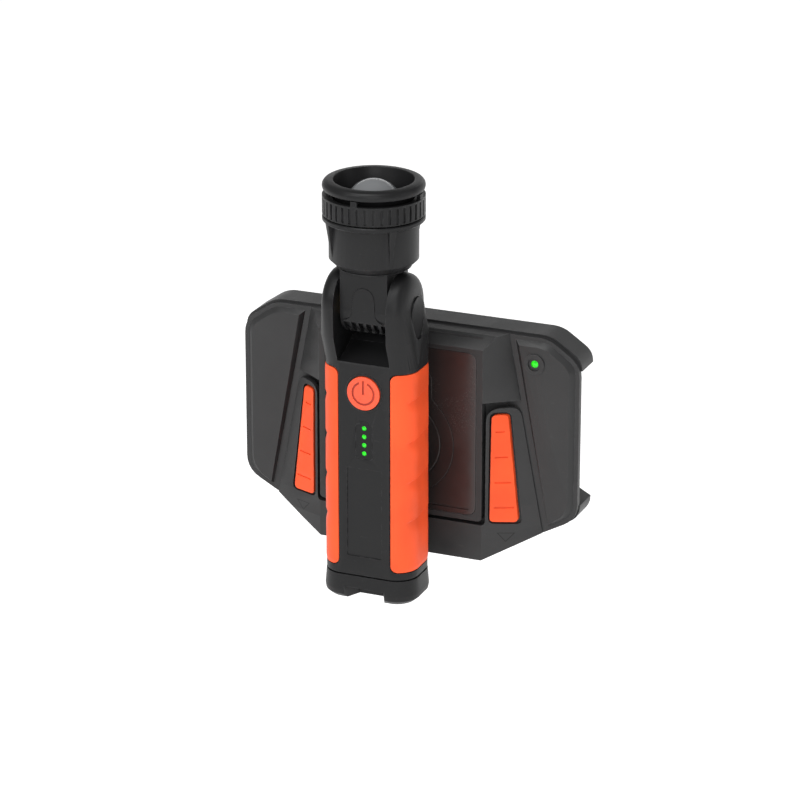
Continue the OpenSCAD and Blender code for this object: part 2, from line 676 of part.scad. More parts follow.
module pivot_washers() color("gold") sides()
    translate([neck_half + 0.1, head_y, pivot_z]) rotate([0, 90, 0]) difference() {
        cylinder(r = 8, h = ear_in - neck_half - 0.12);
        translate([0, 0, -1]) cylinder(r = axle_r + 0.02, h = 4);
    }

module pivot_cover() along_x(21.05, 23.3) cover_profile(0);
module left_pivot_cover() color(dark) mirror([1, 0, 0]) pivot_cover();
module right_pivot_cover() color(dark) pivot_cover();

// The supply leads: through the hollow axle, over its right end and down the ear.
module handle_leads() color("#a02020") {
    translate([2.5, head_y, pivot_z]) rotate([0, 90, 0]) cylinder(r = 1.1, h = 16.5);
    translate([19, head_y, pivot_z]) sphere(1.1);
    rod_z(19, head_y, 1.1, 38, pivot_z);
    translate([19, head_y, 38]) sphere(1.1);
    translate([11.4, head_y, 38]) rotate([0, 90, 0]) cylinder(r = 1.1, h = 7.6);
}

// ---- the neck and head ----

neck_front = 13.2;
module neck_block() color(dark) difference() {
    union() {
        along_x(-neck_half, neck_half) translate([head_y, pivot_z]) {
            circle(neck_front + 0.2);
            translate([-neck_front, 0]) square([2 * neck_front, collar_z - pivot_z + 1]);
        }
        translate([0, head_y, 0]) rotate_extrude() polygon([[0, collar_z], [16.8, collar_z], [17.2, collar_z + 0.9],
            [18.5, collar_z + 1.1], [18.5, cup_z], [0, cup_z]]);
        rod_z(0, head_y, 12, cup_z, sink_z);
    }
    translate([0, head_y, pivot_z]) rotate([0, 90, 0])
        cylinder(r = axle_r + 0.05, h = 40, center = true);
    rod_z(0, head_y, 2, pivot_z, sink_z + 1);
    for (i = [0 : 5]) along_x(-11.05 + 3.9 * i, -8.45 + 3.9 * i) intersection() {
        translate([head_y, pivot_z]) difference() {
            circle(20);
            circle(11.4);
        }
        translate([-90, 60]) square([22, 7.5]);
    }
}

module head_cup() color(dark) difference() {
    union() {
        translate([0, head_y, 0]) rotate_extrude() polygon([[12.02, cup_z], [18.1, cup_z], [cup_r, 98.4],
            [cup_r, flange_z], [24.6, flange_z], [ring_r, flange_z + 0.5], [ring_r, flange_z + 2],
            [24.6, flange_z + 2.5], [21.5, flange_z + 2.5], [21.5, 129], [20, 129], [20, sink_z],
            [12.02, sink_z]]);
        for (a = [45 : 90 : 315]) translate([0, head_y, 0]) rotate(a) intersection() {
            along_y(-3, 3) polygon([[21.5, 99.5], [21.9, 99.5], [24.5, flange_z + 0.4], [21.5, flange_z + 0.4]]);
            along_x(20, 26) polygon([[-0.5, 99], [0.5, 99], [1.9, flange_z + 1], [-1.9, flange_z + 1]]);
        }
    }
    translate([0, head_y, 127.3]) rotate_extrude() translate([21.6, 0]) circle(0.85, $fn = 24);
    sides() box([18, 22], [head_y - 1.15, head_y + 1.15], [lens_z + 1.2 - lens_travel, 126.5]);
}

module cup_seal() color("black") translate([0, head_y, 127.3]) rotate_extrude() translate([21, 0])
    intersection() {
        translate([0.6, 0]) circle(0.83, $fn = 24);
        translate([-2, -1]) square([2.75, 2]);
    }

module heatsink() color("lightgray") difference() {
    rod_z(0, head_y, 19.95, sink_z, emitter_z);
    rod_z(0, head_y, 1.8, sink_z - 1, emitter_z + 1);
    for (x = [-15 : 5 : 15]) if (abs(x) > 4) box([x - 1.2, x + 1.2], [head_y - 30, head_y + 30],
        [sink_z + 2.5, emitter_z - 2]);
}

module led_board() color("white") rod_z(0, head_y, 10, emitter_z, emitter_z + 1.5);

module emitter() color("#e8d060") {
    box([-2.5, 2.5], [head_y - 2.5, head_y + 2.5], [emitter_z + 1.5, emitter_z + 2.2]);
    translate([0, head_y, emitter_z + 2.2]) intersection() {
        sphere(1.9);
        rod_z(0, 0, 3, 0, 3);
    }
}

module head_leads() color("#a02020") rod_z(0, head_y, 1.2, pivot_z + axle_r + 0.4, emitter_z - 0.05);

module focus_ring() color(dark) difference() {
    union() {
        translate([0, head_y, 0]) rotate_extrude() polygon([[21.9, ring_z], [ring_r - 0.5, ring_z],
            [ring_r, ring_z + 0.5], [ring_r, ring_top], [22.4, ring_top], [21.9, ring_top - 0.5]]);
        for (a = [0 : 90 : 270]) translate([0, head_y, 0]) rotate(a) intersection() {
            difference() {
                rod_z(0, 0, ring_r - 0.1, ring_top - eps, bezel_z);
                rod_z(0, 0, 23, ring_top - 1, bezel_z + 1);
            }
            box([20, 30], [-1.6, 1.6], [ring_top - 1, bezel_z + 1]);
        }
    }
    for (i = [0 : ring_grooves - 1]) translate([0, head_y, 0]) rotate(360 / ring_grooves * (i + 0.5))
        box([ring_r - 0.7, ring_r + 1], [-0.7, 0.7], [ring_z + 1, ring_top - 1]);
}

module bezel() color(dark) translate([0, head_y, 0]) rotate_extrude() polygon([[17.2, 126.8], [19.8, rim_z],
    [22.4, rim_z], [24, rim_z - 0.6], [24.9, rim_z - 1.8], [ring_r, rim_z - 3], [24.8, bezel_z + 0.4],
    [24.2, bezel_z], [21, bezel_z], [18.7, 126.8]]);

module lens_carrier() color("dimgray") translate([0, head_y, 0]) difference() {
    rod_z(0, 0, 19.7, lens_z - 9, lens_z + 4.2);
    rod_z(0, 0, 15, lens_z - 10, lens_z + 6);
    rod_z(0, 0, 16.7, lens_z, lens_z + 6);
    sides() translate([15, 0, lens_z + 2.6]) rotate([0, 90, 0]) cylinder(r = 1, h = 8);
}

module guide_pins() color("silver") sides()
    translate([17.3, head_y, lens_z + 2.6]) rotate([0, 90, 0]) cylinder(r = 0.98, h = 4.3);

module lens() color([0.8, 0.9, 1, 0.5]) translate([0, head_y, 0]) {
    intersection() {
        translate([0, 0, rim_z - 0.3 - lens_r]) sphere(lens_r);
        rod_z(0, 0, 30, lens_z, 150);
    }
    rod_z(0, 0, 16.6, lens_z + eps, lens_z + 1.8);
}

module lens_retainer() color("black") translate([0, head_y, 0]) difference() {
    rod_z(0, 0, 16.65, lens_z + 1.85, lens_z + 4.2);
    rod_z(0, 0, 14.4, lens_z, lens_z + 6);
}

dock_housing();
dock_rear_shell();
center_plate();
charging_pad();
transmit_coil();
transmit_ferrite();
dock_magnet();
dock_board();
status_led();
dc_inlet();
dc_inlet_pin();
mount_inserts();
dock_screws();
slider_springs();
release_slider();
left_pad();
right_pad();
latch_fork();
fork_screws();
front_shell();
rear_shell();
left_grip();
right_grip();
button_ring();
tact_switch();
gauge_window();
gauge_leds();
main_board();
battery_cells();
cell_cradle();
cell_contacts();
cell_springs();
tail_gasket();
tail_cap();
tail_screws();
shell_screws();
docking_bracket();
bracket_screws();
docking_stud();
receive_coil();
bracket_magnet();
pivot_axle();
pivot_washers();
left_pivot_cover();
right_pivot_cover();
handle_leads();
power_button();
neck_block();
head_cup();
cup_seal();
heatsink();
led_board();
emitter();
head_leads();
focus_ring();
bezel();
lens_carrier();
guide_pins();
lens();
lens_retainer();
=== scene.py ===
import math
import bmesh
import bpy
from mathutils import Matrix, Vector
from mathutils.bvhtree import BVHTree


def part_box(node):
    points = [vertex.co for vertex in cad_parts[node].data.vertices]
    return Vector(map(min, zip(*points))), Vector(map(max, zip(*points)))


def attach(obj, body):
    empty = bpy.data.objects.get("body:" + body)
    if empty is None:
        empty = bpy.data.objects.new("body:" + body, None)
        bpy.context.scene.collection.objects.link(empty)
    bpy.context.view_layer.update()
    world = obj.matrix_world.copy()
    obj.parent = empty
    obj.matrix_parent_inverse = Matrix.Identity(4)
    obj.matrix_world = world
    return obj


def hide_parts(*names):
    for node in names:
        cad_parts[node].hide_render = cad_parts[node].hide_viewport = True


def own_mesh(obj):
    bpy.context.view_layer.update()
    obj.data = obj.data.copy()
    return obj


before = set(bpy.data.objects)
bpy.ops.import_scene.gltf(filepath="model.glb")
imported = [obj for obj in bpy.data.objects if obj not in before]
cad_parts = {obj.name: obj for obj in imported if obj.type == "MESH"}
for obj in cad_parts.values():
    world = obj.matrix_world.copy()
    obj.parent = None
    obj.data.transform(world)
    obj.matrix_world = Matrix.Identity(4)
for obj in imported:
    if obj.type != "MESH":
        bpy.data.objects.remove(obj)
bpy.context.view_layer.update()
MM = 0.001


# ---- Dock rear shell ------------------------------------------------------------------------
# The tray that stands on the wall: an injection moulding in charcoal nylon with a fine
# spark-eroded texture, open at the front, with a window in each side to save weight.
def material(name):
    """A new material and its Principled shader."""
    made = bpy.data.materials.new(name)
    made.use_nodes = True
    return made, made.node_tree, made.node_tree.nodes["Principled BSDF"]


def group(name, inputs, outputs):
    """An empty shader group with named sockets; inputs are (name, type, default)."""
    tree = bpy.data.node_groups.new(name, "ShaderNodeTree")
    for label, kind, value in inputs:
        tree.interface.new_socket(name=label, in_out="INPUT", socket_type=kind).default_value = value
    for label, kind in outputs:
        tree.interface.new_socket(name=label, in_out="OUTPUT", socket_type=kind)
    return tree, tree.nodes.new("NodeGroupInput"), tree.nodes.new("NodeGroupOutput")


def node(tree, kind, links=(), **values):
    """A shader node with its settings, and its inputs linked or set by name or number."""
    made = tree.nodes.new(kind)
    for key, value in values.items():
        setattr(made, key, value)
    for key, value in dict(links).items():
        if isinstance(value, bpy.types.NodeSocket):
            tree.links.new(value, made.inputs[key])
        else:
            made.inputs[key].default_value = value
    return made


def math_node(tree, operation, a, b=0.5, clamp=False):
    """The result of one sum on two values or sockets."""
    return node(tree, "ShaderNodeMath", {0: a, 1: b}, operation=operation, use_clamp=clamp).outputs[0]


def ramp(tree, value, low, high, to_low=0.0, to_high=1.0):
    """A value taken smoothly from low..high to to_low..to_high."""
    return node(tree, "ShaderNodeMapRange", {"Value": value, "From Min": low, "From Max": high,
                "To Min": to_low, "To Max": to_high}, interpolation_type="SMOOTHSTEP").outputs["Result"]


# Edges that hands and brackets rub: where a wide-radius normal turns away from the true one,
# broken up by noise so that the polish is patchy.
rubbed_width = 0.6 * MM
edge_wear, wear_in, wear_out = group(
    "edge_wear", [("Width", "NodeSocketFloat", rubbed_width), ("Break-up", "NodeSocketFloat", 300.0)],
    [("Mask", "NodeSocketFloat")])
wide_normal = node(edge_wear, "ShaderNodeBevel", {"Radius": wear_in.outputs["Width"]}, samples=4)
true_normal = node(edge_wear, "ShaderNodeNewGeometry")
facing = node(edge_wear, "ShaderNodeVectorMath",
              {0: wide_normal.outputs[0], 1: true_normal.outputs["Normal"]}, operation="DOT_PRODUCT")
place = node(edge_wear, "ShaderNodeTexCoord")
patches = node(edge_wear, "ShaderNodeTexNoise", {"Vector": place.outputs["Object"],
               "Scale": wear_in.outputs["Break-up"], "Detail": 3.0, "Roughness": 0.6})
edge_wear.links.new(math_node(edge_wear, "MULTIPLY", ramp(edge_wear, facing.outputs["Value"], 0.985, 0.86),
                              ramp(edge_wear, patches.outputs["Fac"], 0.42, 0.62)), wear_out.inputs["Mask"])

# The moulder's texture: fine grain from the eroded tool, slow drift in sheen and shade from
# the way the melt flowed, and hair scratches from use.
grain, grain_in, grain_out = group(
    "moulded_grain",
    [("Colour", "NodeSocketColor", (0.05, 0.05, 0.05, 1)), ("Sheen", "NodeSocketFloat", 0.5),
     ("Grain", "NodeSocketFloat", 2600.0), ("Scuffs", "NodeSocketFloat", 0.3),
     ("Wear", "NodeSocketFloat", 0.0)],
    [("Colour", "NodeSocketColor"), ("Roughness", "NodeSocketFloat"), ("Height", "NodeSocketFloat")])
place = node(grain, "ShaderNodeTexCoord")
fine = node(grain, "ShaderNodeTexNoise", {"Vector": place.outputs["Object"],
            "Scale": grain_in.outputs["Grain"], "Detail": 2.0, "Roughness": 0.55})
drift = node(grain, "ShaderNodeTexNoise", {"Vector": place.outputs["Object"], "Scale": 38.0, "Detail": 3.0})
long_way = node(grain, "ShaderNodeMapping", {"Vector": place.outputs["Object"], "Rotation": (0.5, 0.3, 0.7),
                "Scale": (1.0, 14.0, 3.0)})
hairs = node(grain, "ShaderNodeTexNoise", {"Vector": long_way.outputs[0], "Scale": 210.0, "Detail": 4.0,
             "Distortion": 0.6})
scuff = math_node(grain, "MULTIPLY", ramp(grain, hairs.outputs["Fac"], 0.64, 0.74),
                  grain_in.outputs["Scuffs"])
rubbed = math_node(grain, "ADD", math_node(grain, "MULTIPLY", scuff, 0.35), grain_in.outputs["Wear"],
                   clamp=True)
shade = ramp(grain, drift.outputs["Fac"], 0.3, 0.7, 0.9, 1.1)
dark_light = node(grain, "ShaderNodeMix", {0: 1.0, 6: grain_in.outputs["Colour"],
                  7: node(grain, "ShaderNodeCombineColor", {0: shade, 1: shade, 2: shade}).outputs[0]},
                  data_type="RGBA", blend_type="MULTIPLY")
paler = node(grain, "ShaderNodeMix", {0: 1.0, 6: dark_light.outputs[2], 7: (0.05, 0.05, 0.052, 1)},
             data_type="RGBA", blend_type="ADD")
worn = node(grain, "ShaderNodeMix", {0: rubbed, 6: dark_light.outputs[2], 7: paler.outputs[2]},
            data_type="RGBA")
grain.links.new(worn.outputs[2], grain_out.inputs["Colour"])
sheen = math_node(grain, "ADD", grain_in.outputs["Sheen"],
                  ramp(grain, drift.outputs["Fac"], 0.3, 0.7, -0.05, 0.05))
sheen = math_node(grain, "ADD", sheen, ramp(grain, fine.outputs["Fac"], 0.3, 0.7, -0.04, 0.04))
grain.links.new(math_node(grain, "SUBTRACT", sheen, math_node(grain, "MULTIPLY", rubbed, 0.14)),
                grain_out.inputs["Roughness"])
grain.links.new(math_node(grain, "SUBTRACT", fine.outputs["Fac"], math_node(grain, "MULTIPLY", scuff, 0.4)),
                grain_out.inputs["Height"])


def moulding(name, colour, sheen, grain_scale, bump, scuffs=0.3, wear=0.6, specular=0.5):
    """A moulded plastic or rubber with the tool's grain, flow marks, scuffs and rubbed edges."""
    made, tree, shader = material(name)
    edges = node(tree, "ShaderNodeGroup", node_tree=edge_wear)
    edges.inputs["Width"].default_value = rubbed_width
    surface = node(tree, "ShaderNodeGroup", node_tree=grain)
    surface.inputs["Colour"].default_value = (*colour, 1)
    surface.inputs["Sheen"].default_value = sheen
    surface.inputs["Grain"].default_value = grain_scale
    surface.inputs["Scuffs"].default_value = scuffs
    tree.links.new(math_node(tree, "MULTIPLY", edges.outputs["Mask"], wear), surface.inputs["Wear"])
    tree.links.new(surface.outputs["Colour"], shader.inputs["Base Color"])
    tree.links.new(surface.outputs["Roughness"], shader.inputs["Roughness"])
    bumped = node(tree, "ShaderNodeBump", {"Height": surface.outputs["Height"], "Strength": bump,
                  "Distance": 0.00006})
    tree.links.new(bumped.outputs[0], shader.inputs["Normal"])
    shader.inputs["Specular IOR Level"].default_value = specular
    return made


def piece(name, bm, body, slot, finish, *cad_nodes, round_edges=0.0, steps=2, crease=32):
    """Makes a bmesh a piece on its body, standing for its CAD nodes, with its edges rounded."""
    bmesh.ops.remove_doubles(bm, verts=bm.verts, dist=2e-6)
    mesh = bpy.data.meshes.new(name)
    bm.to_mesh(mesh)
    bm.free()
    made = bpy.data.objects.new(name, mesh)
    bpy.context.scene.collection.objects.link(made)
    mesh.materials.append(finish)
    mesh.shade_smooth()
    mesh.set_sharp_from_angle(angle=math.radians(crease))
    if round_edges:
        rounding = made.modifiers.new("rounding", "BEVEL")
        rounding.width = round_edges
        rounding.segments = steps
        rounding.limit_method = "ANGLE"
        rounding.angle_limit = math.radians(crease)
        rounding.harden_normals = True
    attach(made, body)
    if cad_nodes:
        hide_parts(*cad_nodes)
    return made


def from_cad(name):
    """The CAD node's own shape as a welded bmesh, with its flat faces whole again."""
    bm = bmesh.new()
    bm.from_mesh(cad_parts[name].data)
    bmesh.ops.remove_doubles(bm, verts=bm.verts, dist=4e-6)
    bmesh.ops.dissolve_limit(bm, angle_limit=math.radians(1.0), verts=bm.verts, edges=bm.edges)
    return bm


dock_plastic = moulding("dock_plastic", (0.027, 0.027, 0.0275), 0.44, 2400.0, 0.35, specular=0.3)
piece("rear_tray", from_cad("dock_rear_shell"), "dock", "dock_plastic", dock_plastic, "dock_rear_shell",
      round_edges=0.5 * MM)


# ---- Wall inserts and dock screws -----------------------------------------------------------
# Four grooved M4 brass inserts melted into the tray for the bracket's screws, and six
# zinc-plated hexagon-socket screws that pull the housing onto the tray from behind.
turned, turned_in, turned_out = group(
    "turned_metal", [("Colour", "NodeSocketColor", (0.6, 0.6, 0.6, 1)), ("Sheen", "NodeSocketFloat", 0.3),
                     ("Marks", "NodeSocketFloat", 1500.0)],
    [("Colour", "NodeSocketColor"), ("Roughness", "NodeSocketFloat"), ("Height", "NodeSocketFloat")])
place = node(turned, "ShaderNodeTexCoord")
drawn = node(turned, "ShaderNodeMapping", {"Vector": place.outputs["Object"], "Scale": (1.0, 0.12, 1.0)})
marks = node(turned, "ShaderNodeTexNoise", {"Vector": drawn.outputs[0], "Scale": turned_in.outputs["Marks"],
             "Detail": 3.0})
tarnish = node(turned, "ShaderNodeTexNoise", {"Vector": place.outputs["Object"], "Scale": 240.0,
               "Detail": 4.0})
dull = ramp(turned, tarnish.outputs["Fac"], 0.45, 0.75)
darker = node(turned, "ShaderNodeMix", {0: 1.0, 6: turned_in.outputs["Colour"], 7: (0.62, 0.6, 0.56, 1)},
              data_type="RGBA", blend_type="MULTIPLY")
toned = node(turned, "ShaderNodeMix", {0: dull, 6: turned_in.outputs["Colour"], 7: darker.outputs[2]},
             data_type="RGBA")
turned.links.new(toned.outputs[2], turned_out.inputs["Colour"])
sheen = math_node(turned, "ADD", turned_in.outputs["Sheen"],
                  ramp(turned, marks.outputs["Fac"], 0.3, 0.7, -0.08, 0.08))
turned.links.new(math_node(turned, "ADD", sheen, math_node(turned, "MULTIPLY", dull, 0.15)),
                 turned_out.inputs["Roughness"])
turned.links.new(marks.outputs["Fac"], turned_out.inputs["Height"])


def metal(name, colour, sheen, marks_scale=1500.0, bump=0.15):
    """A plated or machined metal with drawn tool marks and a little tarnish."""
    made, tree, shader = material(name)
    surface = node(tree, "ShaderNodeGroup", node_tree=turned)
    surface.inputs["Colour"].default_value = (*colour, 1)
    surface.inputs["Sheen"].default_value = sheen
    surface.inputs["Marks"].default_value = marks_scale
    tree.links.new(surface.outputs["Colour"], shader.inputs["Base Color"])
    tree.links.new(surface.outputs["Roughness"], shader.inputs["Roughness"])
    bumped = node(tree, "ShaderNodeBump", {"Height": surface.outputs["Height"], "Strength": bump,
                  "Distance": 0.00003})
    tree.links.new(bumped.outputs[0], shader.inputs["Normal"])
    shader.inputs["Metallic"].default_value = 1.0
    return made


facing_front = Matrix.Rotation(math.pi / 2, 4, "X")


def collar_steps(bm, loop, about, steps):
    """Carries a ring of edges along Y and outwards by each (length, growth), and returns the last ring."""
    radius = (loop[0].verts[0].co - Vector(about)).length
    for length, growth in steps:
        out = bmesh.ops.extrude_edge_only(bm, edges=loop)["geom"]
        verts = [g for g in out if isinstance(g, bmesh.types.BMVert)]
        loop = [g for g in out if isinstance(g, bmesh.types.BMEdge)]
        share = (radius + growth) / radius
        radius += growth
        bmesh.ops.scale(bm, vec=(share, 1, share), verts=verts, space=Matrix.Translation(-Vector(about)))
        bmesh.ops.translate(bm, vec=(0, length, 0), verts=verts)
    return loop


brass = metal("turned_brass", (0.72, 0.5, 0.22), 0.28)
zinc_steel = metal("zinc_plated_steel", (0.58, 0.58, 0.6), 0.3)
insert_r, insert_bore = 2.98 * MM, 2 * MM
insert_wall = insert_r - insert_bore
pattern_x, pattern_z = 19 * MM, 15 * MM
land_and_groove = [(-1.1 * MM, 0), (-0.25 * MM, -0.3 * MM), (-0.3 * MM, 0), (-0.25 * MM, 0.3 * MM)]
last_land = (-0.3 * MM, 0)
bm = bmesh.new()
for x in (-pattern_x, pattern_x):
    for z in (-pattern_z, pattern_z):
        ring = bmesh.ops.create_circle(bm, segments=48, radius=insert_bore,
                                       matrix=Matrix.Translation((x, 0, z)) @ facing_front)
        bore = list({e for v in ring["verts"] for e in v.link_edges})
        last = collar_steps(bm, bore, (x, 0, z), [(0, insert_wall), *land_and_groove * 3, last_land,
                                                  (0, -insert_wall)])
        bmesh.ops.bridge_loops(bm, edges=bore + last)
bmesh.ops.recalc_face_normals(bm, faces=bm.faces)
piece("wall_inserts", bm, "dock", "brass", brass, "mount_inserts")
piece("socket_screws", from_cad("dock_screws"), "dock", "steel", zinc_steel, "dock_screws",
      round_edges=0.15 * MM)


# ---- Dock housing ---------------------------------------------------------------------------
# The front moulding: a prow with a flat panel and two twisted cheeks, cut away for the
# release slider, between two wings whose raised faces have soft chamfers.
piece("prow_housing", from_cad("dock_housing"), "dock", "dock_plastic", dock_plastic, "dock_housing",
      round_edges=0.4 * MM)


# ---- Centre plate and charging pad ----------------------------------------------------------
# A snap-in cover plate with a moulded groove near its foot, and the keyhole-shaped pad over
# the sending coil. Both are polished more than the housing, so they mirror the grips, and their
# colour leans red as a painted reflection of the orange grips.
# The red lean of this colour is a painted reflection of the orange grips, beside the real glossy one.
panel_plastic = moulding("panel_plastic", (0.024, 0.0195, 0.019), 0.2, 2400.0, 0.01, scuffs=0.0, wear=0.25,
                         specular=0.5)
piece("cover_plate", from_cad("center_plate"), "dock", "panel_plastic", panel_plastic, "center_plate",
      round_edges=0.3 * MM)
piece("keyhole_pad", from_cad("charging_pad"), "dock", "panel_plastic", panel_plastic, "charging_pad",
      round_edges=0.22 * MM)


# ---- Charging electronics -------------------------------------------------------------------
# Behind the pad: a flat coil of enamelled wire on a ferrite sheet, a holding magnet, and the
# green driver board on four posts.
coil_centre = Vector((0, 0, -8.5 * MM))


def wound_copper(name):
    """Enamelled wire wound flat about coil_centre, each turn a fine ridge."""
    made, tree, shader = material(name)
    middle = node(tree, "ShaderNodeMapping", {"Vector": node(tree, "ShaderNodeTexCoord").outputs["Object"],
                  "Location": -coil_centre})
    turns = node(tree, "ShaderNodeTexWave", {"Vector": middle.outputs[0], "Scale": 320.0, "Distortion": 0.2},
                 wave_type="RINGS", rings_direction="Y")
    tone = node(tree, "ShaderNodeMix", {0: turns.outputs["Fac"], 6: (0.2, 0.06, 0.02, 1),
                7: (0.6, 0.25, 0.1, 1)}, data_type="RGBA")
    tree.links.new(tone.outputs[2], shader.inputs["Base Color"])
    tree.links.new(ramp(tree, turns.outputs["Fac"], 0, 1, 0.5, 0.25), shader.inputs["Roughness"])
    ridges = node(tree, "ShaderNodeBump", {"Height": turns.outputs["Fac"], "Strength": 0.6,
                  "Distance": 0.0002})
    tree.links.new(ridges.outputs[0], shader.inputs["Normal"])
    shader.inputs["Metallic"].default_value = 0.8
    return made


board_faces, board_in, board_out = group(
    "board_faces", [("Mask", "NodeSocketColor", (0.01, 0.12, 0.04, 1)), ("Tracks", "NodeSocketFloat", 420.0)],
    [("Colour", "NodeSocketColor"), ("Roughness", "NodeSocketFloat"), ("Height", "NodeSocketFloat")])
laid = node(board_faces, "ShaderNodeTexCoord")
cells = node(board_faces, "ShaderNodeTexVoronoi", {"Vector": laid.outputs["Object"],
             "Scale": board_in.outputs["Tracks"]}, distance="MANHATTAN")
track = ramp(board_faces, cells.outputs["Distance"], 0.3, 0.36)
lands = node(board_faces, "ShaderNodeTexVoronoi", {"Vector": laid.outputs["Object"], "Scale": 330.0},
             distance="CHEBYCHEV")
land = ramp(board_faces, lands.outputs["Distance"], 0.14, 0.11)
masked = node(board_faces, "ShaderNodeMix", {0: track, 6: board_in.outputs["Mask"], 7: (0.03, 0.24, 0.09, 1)},
              data_type="RGBA")
tinned = node(board_faces, "ShaderNodeMix", {0: land, 6: masked.outputs[2], 7: (0.55, 0.52, 0.45, 1)},
              data_type="RGBA")
board_faces.links.new(tinned.outputs[2], board_out.inputs["Colour"])
board_faces.links.new(ramp(board_faces, track, 0, 1, 0.38, 0.25), board_out.inputs["Roughness"])
board_faces.links.new(math_node(board_faces, "ADD", track, land), board_out.inputs["Height"])


def board(name, tracks, mask=(0.01, 0.12, 0.04)):
    """Glass-epoxy board under a solder mask, with tracks and tinned lands."""
    made, tree, shader = material(name)
    surface = node(tree, "ShaderNodeGroup", node_tree=board_faces)
    surface.inputs["Mask"].default_value = (*mask, 1)
    surface.inputs["Tracks"].default_value = tracks
    tree.links.new(surface.outputs["Colour"], shader.inputs["Base Color"])
    tree.links.new(surface.outputs["Roughness"], shader.inputs["Roughness"])
    raised = node(tree, "ShaderNodeBump", {"Height": surface.outputs["Height"], "Strength": 0.4,
                  "Distance": 0.00005})
    tree.links.new(raised.outputs[0], shader.inputs["Normal"])
    return made


ferrite = moulding("sintered_ferrite", (0.02, 0.02, 0.021), 0.62, 1500.0, 0.5, scuffs=0.1, wear=0.4)
nickel = metal("nickel_plate", (0.7, 0.69, 0.66), 0.18, 900.0, 0.05)
piece("sending_coil", from_cad("transmit_coil"), "dock", "copper_coil", wound_copper("sending_coil_wire"),
      "transmit_coil", round_edges=0.2 * MM)
piece("ferrite_sheet", from_cad("transmit_ferrite"), "dock", "ferrite", ferrite, "transmit_ferrite",
      round_edges=0.1 * MM)
piece("holding_magnet", from_cad("dock_magnet"), "dock", "magnet_steel", nickel, "dock_magnet",
      round_edges=0.3 * MM)
piece("driver_board", from_cad("dock_board"), "dock", "circuit_board", board("driver_board", 420.0),
      "dock_board", round_edges=0.15 * MM)


# ---- Status light ---------------------------------------------------------------------------
# A clear light pipe pressed into the right wing's boss from behind, lit green by the board;
# its end is crowned and stands just proud of the boss.
lit_green, tree, shader = material("lit_green")
haze = node(tree, "ShaderNodeTexNoise", {"Vector": node(tree, "ShaderNodeTexCoord").outputs["Object"],
            "Scale": 700.0, "Detail": 2.0})
glow = node(tree, "ShaderNodeMix", {0: ramp(tree, haze.outputs["Fac"], 0.35, 0.65), 6: (0.004, 0.5, 0.002, 1),
            7: (0.01, 0.72, 0.004, 1)}, data_type="RGBA")
tree.links.new(glow.outputs[2], shader.inputs["Base Color"])
tree.links.new(glow.outputs[2], shader.inputs["Emission Color"])
tree.links.new(ramp(tree, haze.outputs["Fac"], 0.3, 0.7, 0.2, 0.32), shader.inputs["Roughness"])
shader.inputs["Emission Strength"].default_value = 0.25


def light_pipe(bm, x, z, front, back, radius, crown):
    """A round pipe along Y whose front end is crowned out to front."""
    at = Matrix.Translation((x, (front + crown + back) / 2, z))
    made = bmesh.ops.create_cone(bm, cap_ends=True, segments=40, radius1=radius, radius2=radius,
                                 depth=back - front - crown, matrix=at @ facing_front)
    face = min({f for v in made["verts"] for f in v.link_faces}, key=lambda f: f.calc_center_median().y)
    for narrow, rise in ((0.2, 0.4), (0.25, 0.35), (0.25, 0.25)):
        bmesh.ops.inset_region(bm, faces=[face], thickness=radius * narrow)
        bmesh.ops.translate(bm, vec=(0, -crown * rise, 0), verts=face.verts)


low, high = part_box("status_led")
bm = bmesh.new()
light_pipe(bm, (low.x + high.x) / 2, (low.z + high.z) / 2, low.y, high.y, (high.x - low.x) / 2, 0.35 * MM)
bmesh.ops.recalc_face_normals(bm, faces=bm.faces)
piece("status_light", bm, "dock", "green_light", lit_green, "status_led", crease=60)


# ---- Power inlet ----------------------------------------------------------------------------
# A round low-voltage socket in the dock's underside, black moulded barrel and plated pin.
black_plastic = moulding("black_plastic", (0.0095, 0.0095, 0.01), 0.42, 2800.0, 0.3, specular=0.22)
piece("inlet_barrel", from_cad("dc_inlet"), "dock", "black_plastic", black_plastic, "dc_inlet",
      round_edges=0.3 * MM)
piece("inlet_pin", from_cad("dc_inlet_pin"), "dock", "steel", nickel, "dc_inlet_pin", round_edges=0.3 * MM)


# ---- Release slider -------------------------------------------------------------------------
# A U-shaped moulding that runs in the housing's cutaway: pulled down by its two arms, it draws
# a stamped steel fork off the docking stud. Under each pad lies a small arrow sunk into the cheek,
# drawn as a near-black strip that follows the cheek: painted shade standing for the arrow's groove.
piece("release_bar", from_cad("release_slider"), "slider", "dock_plastic", dock_plastic, "release_slider",
      round_edges=0.5 * MM)
piece("latch_plate", from_cad("latch_fork"), "slider", "steel", zinc_steel, "latch_fork",
      round_edges=0.1 * MM)
piece("latch_screws", from_cad("fork_screws"), "slider", "steel", zinc_steel, "fork_screws",
      round_edges=0.15 * MM)
